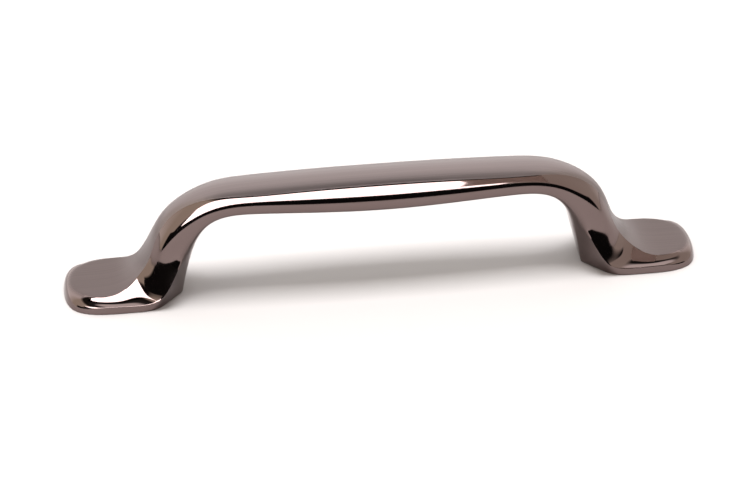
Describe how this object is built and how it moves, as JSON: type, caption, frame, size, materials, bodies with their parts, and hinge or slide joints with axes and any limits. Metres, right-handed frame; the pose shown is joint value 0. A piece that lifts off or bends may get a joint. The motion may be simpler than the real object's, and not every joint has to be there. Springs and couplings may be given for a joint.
{
  "type": "cabinet pull handle",
  "caption": "One-piece die-cast cabinet pull: a bowed grip on two splayed legs that run out into flat spoon-shaped feet, fixed by two screws from behind.",
  "frame": {"origin": "in the mounting plane, midway between the two screw holes", "axes": "+X along the grip, +Z away from the drawer front, +Y across the grip"},
  "size_m": [0.133, 0.019, 0.0245],
  "materials": {
    "plated_zinc": "dark nickel plate, brushed along the top and polished on the sides"
  },
  "bodies": {
    "root": {"pull_body": "plated_zinc"}
  },
  "joints": []
}
